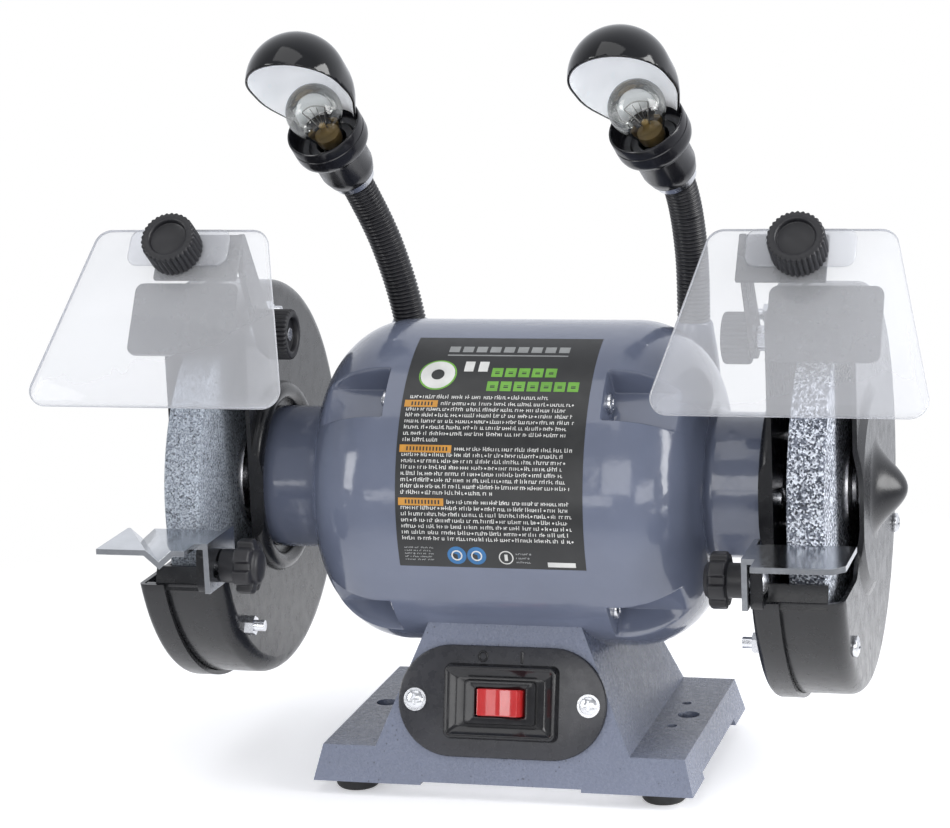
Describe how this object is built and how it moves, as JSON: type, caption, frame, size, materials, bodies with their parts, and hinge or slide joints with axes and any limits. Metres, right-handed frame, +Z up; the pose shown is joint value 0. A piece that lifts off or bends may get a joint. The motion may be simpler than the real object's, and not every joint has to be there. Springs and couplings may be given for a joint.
{
  "type": "bench grinder",
  "caption": "Bench grinder: grinding wheels on one motor shaft, with guards, tool rests, clear eye shields on clamp arms, a rocker switch on a cast base, and gooseneck lamps.",
  "frame": {"origin": "on the bench surface, under the middle of the motor shaft and midway between the two bench bolt holes", "axes": "+X to the user's right along the shaft, -Y towards the user, +Z up"},
  "size_m": [0.398, 0.2123, 0.3402],
  "materials": {
    "enamel_blue_grey": "glossy enamel over casting, light orange peel",
    "black_satin_paint": "satin black powder coat on pressed sheet",
    "hood_enamel": "gloss black outside, white inside",
    "zinc_plate": "bright zinc plate",
    "rest_steel": "bright plated sheet",
    "machined_steel": "turned and ground steel",
    "electrical_steel": "laminated sheet",
    "copper_winding": "lacquered copper wire",
    "capacitor_can": "drawn aluminium can",
    "black_rubber": "moulded, matte",
    "black_gloss_plastic": "moulded, semi-gloss",
    "black_matte_plastic": "moulded, fine matte grain",
    "black_sleeve": "ribbed flexible sleeve",
    "red_rocker": "translucent red, glossy",
    "grit_fine_grey": "bonded abrasive, finer grit",
    "grit_coarse_grey": "bonded abrasive, coarse speckled grit",
    "clear_plastic": "clear moulded polycarbonate",
    "clear_glass": "thin blown glass"
  },
  "bodies": {
    "frame": {"base_casting": "enamel_blue_grey", "base_cover_plate": "zinc_plate", "rubber_feet": "black_rubber", "feet_screws": "zinc_plate", "base_bolts": "zinc_plate", "switch_plate": "black_gloss_plastic", "switch_body": "black_gloss_plastic", "switch_screws": "zinc_plate", "cord_gland": "black_matte_plastic", "run_capacitor": "capacitor_can", "motor_shell": "enamel_blue_grey", "end_bell_left": "enamel_blue_grey", "end_bell_right": "enamel_blue_grey", "tie_bolts": "zinc_plate", "stator_core": "electrical_steel", "stator_windings": "copper_winding", "bearings": "machined_steel", "inner_guard_left": "black_satin_paint", "inner_guard_right": "black_satin_paint", "wheel_cover_left": "black_satin_paint", "wheel_cover_right": "black_satin_paint", "guard_mount_screws": "zinc_plate", "guard_through_screws": "zinc_plate", "rest_bracket_left": "black_satin_paint", "rest_bracket_right": "black_satin_paint", "rest_bolts": "zinc_plate", "arm_pivot_bolts": "zinc_plate"},
    "rotor": {"rotor_shaft": "machined_steel", "rotor_core": "electrical_steel", "wheel_flanges": "machined_steel", "spindle_nuts": "machined_steel", "wheel_left": "grit_fine_grey", "wheel_right": "grit_coarse_grey"},
    "rocker": {"switch_rocker": "red_rocker"},
    "rest_left": {"tool_rest_left": "rest_steel"},
    "rest_knob_left": {"rest_knob_left": "black_matte_plastic"},
    "arrestor_left": {"spark_arrestor_left": "black_satin_paint"},
    "arm_left": {"shield_arm_left": "black_satin_paint", "shield_stud_left": "zinc_plate"},
    "arm_knob_left": {"arm_knob_left": "black_matte_plastic"},
    "shield_left": {"eye_shield_left": "clear_plastic"},
    "shield_knob_left": {"shield_knob_left": "black_matte_plastic"},
    "neck_lower_left": {"neck_lower_left": "black_sleeve"},
    "neck_upper_left": {"neck_upper_left": "black_sleeve"},
    "lamp_left": {"lamp_socket_left": "black_matte_plastic", "bulb_left": "clear_glass"},
    "hood_left": {"lamp_hood_left": "hood_enamel"},
    "rest_right": {"tool_rest_right": "rest_steel"},
    "rest_knob_right": {"rest_knob_right": "black_matte_plastic"},
    "arrestor_right": {"spark_arrestor_right": "black_satin_paint"},
    "arm_right": {"shield_arm_right": "black_satin_paint", "shield_stud_right": "zinc_plate"},
    "arm_knob_right": {"arm_knob_right": "black_matte_plastic"},
    "shield_right": {"eye_shield_right": "clear_plastic"},
    "shield_knob_right": {"shield_knob_right": "black_matte_plastic"},
    "neck_lower_right": {"neck_lower_right": "black_sleeve"},
    "neck_upper_right": {"neck_upper_right": "black_sleeve"},
    "lamp_right": {"lamp_socket_right": "black_matte_plastic", "bulb_right": "clear_glass"},
    "hood_right": {"lamp_hood_right": "hood_enamel"}
  },
  "joints": [
    {"name": "rotor_spin", "type": "hinge", "parent": "frame", "child": "rotor", "pos_m": [0, 0, 0.132], "axis": [1, 0, 0], "continuous": true},
    {"name": "rocker_tip", "type": "hinge", "parent": "frame", "child": "rocker", "pos_m": [0, -0.06035, 0.04439], "axis": [0, 0.2588, 0.9659], "range_deg": [0, 16]},
    {"name": "rest_slide_left", "type": "slide", "parent": "frame", "child": "rest_left", "axis": [0, 1, 0], "range_m": [-0.008, 0.002]},
    {"name": "rest_knob_turn_left", "type": "hinge", "parent": "frame", "child": "rest_knob_left", "pos_m": [-0.11, -0.088, 0.1115], "axis": [1, 0, 0], "continuous": true},
    {"name": "arrestor_tilt_left", "type": "hinge", "parent": "frame", "child": "arrestor_left", "pos_m": [-0.122, -0.03, 0.205], "axis": [1, 0, 0], "range_deg": [-10, 15]},
    {"name": "arm_swing_left", "type": "hinge", "parent": "frame", "child": "arm_left", "pos_m": [-0.112, -0.03, 0.205], "axis": [1, 0, 0], "range_deg": [-40, 10]},
    {"name": "arm_knob_turn_left", "type": "hinge", "parent": "frame", "child": "arm_knob_left", "pos_m": [-0.105, -0.03, 0.205], "axis": [1, 0, 0], "continuous": true},
    {"name": "shield_turn_left", "type": "hinge", "parent": "arm_left", "child": "shield_left", "pos_m": [-0.139, -0.0623, 0.246], "axis": [0, -0.7955, 0.606], "range_deg": [-15, 15]},
    {"name": "shield_knob_turn_left", "type": "hinge", "parent": "arm_left", "child": "shield_knob_left", "pos_m": [-0.139, -0.0623, 0.246], "axis": [0, -0.7955, 0.606], "continuous": true},
    {"name": "lamp_sway_left", "type": "hinge", "parent": "frame", "child": "neck_lower_left", "pos_m": [-0.069, 0.055, 0.201], "axis": [0, 1, 0], "range_deg": [-15, 15]},
    {"name": "lamp_nod_left", "type": "hinge", "parent": "neck_lower_left", "child": "neck_upper_left", "pos_m": [-0.077, 0.05, 0.233], "axis": [1, 0, 0], "range_deg": [-15, 12]},
    {"name": "lamp_nod_head_left", "type": "hinge", "parent": "neck_upper_left", "child": "lamp_left", "pos_m": [-0.087, 0.0385, 0.2645], "axis": [1, 0, 0], "range_deg": [-15, 12]},
    {"name": "hood_turn_left", "type": "hinge", "parent": "lamp_left", "child": "hood_left", "pos_m": [-0.087, 0.0385, 0.2645], "axis": [-0.1633, -0.6561, 0.7368], "range_deg": [-60, 60]},
    {"name": "rest_slide_right", "type": "slide", "parent": "frame", "child": "rest_right", "axis": [0, 1, 0], "range_m": [-0.008, 0.002]},
    {"name": "rest_knob_turn_right", "type": "hinge", "parent": "frame", "child": "rest_knob_right", "pos_m": [0.11, -0.088, 0.1115], "axis": [1, 0, 0], "continuous": true},
    {"name": "arrestor_tilt_right", "type": "hinge", "parent": "frame", "child": "arrestor_right", "pos_m": [0.122, -0.03, 0.205], "axis": [1, 0, 0], "range_deg": [-10, 15]},
    {"name": "arm_swing_right", "type": "hinge", "parent": "frame", "child": "arm_right", "pos_m": [0.112, -0.03, 0.205], "axis": [1, 0, 0], "range_deg": [-40, 10]},
    {"name": "arm_knob_turn_right", "type": "hinge", "parent": "frame", "child": "arm_knob_right", "pos_m": [0.105, -0.03, 0.205], "axis": [1, 0, 0], "continuous": true},
    {"name": "shield_turn_right", "type": "hinge", "parent": "arm_right", "child": "shield_right", "pos_m": [0.139, -0.0623, 0.246], "axis": [0, -0.7955, 0.606], "range_deg": [-15, 15]},
    {"name": "shield_knob_turn_right", "type": "hinge", "parent": "arm_right", "child": "shield_knob_right", "pos_m": [0.139, -0.0623, 0.246], "axis": [0, -0.7955, 0.606], "continuous": true},
    {"name": "lamp_sway_right", "type": "hinge", "parent": "frame", "child": "neck_lower_right", "pos_m": [0.069, 0.055, 0.201], "axis": [0, 1, 0], "range_deg": [-15, 15]},
    {"name": "lamp_nod_right", "type": "hinge", "parent": "neck_lower_right", "child": "neck_upper_right", "pos_m": [0.0695, 0.05, 0.2325], "axis": [1, 0, 0], "range_deg": [-15, 12]},
    {"name": "lamp_nod_head_right", "type": "hinge", "parent": "neck_upper_right", "child": "lamp_right", "pos_m": [0.067, 0.0385, 0.2638], "axis": [1, 0, 0], "range_deg": [-15, 12]},
    {"name": "hood_turn_right", "type": "hinge", "parent": "lamp_right", "child": "hood_right", "pos_m": [0.067, 0.0385, 0.2638], "axis": [-0.2288, -0.6225, 0.7484], "range_deg": [-60, 60]}
  ],
  "couplings": [
    {"joint": "lamp_nod_head_left", "follows": "lamp_nod_left", "ratio": 1},
    {"joint": "lamp_nod_head_right", "follows": "lamp_nod_right", "ratio": 1}
  ]
}
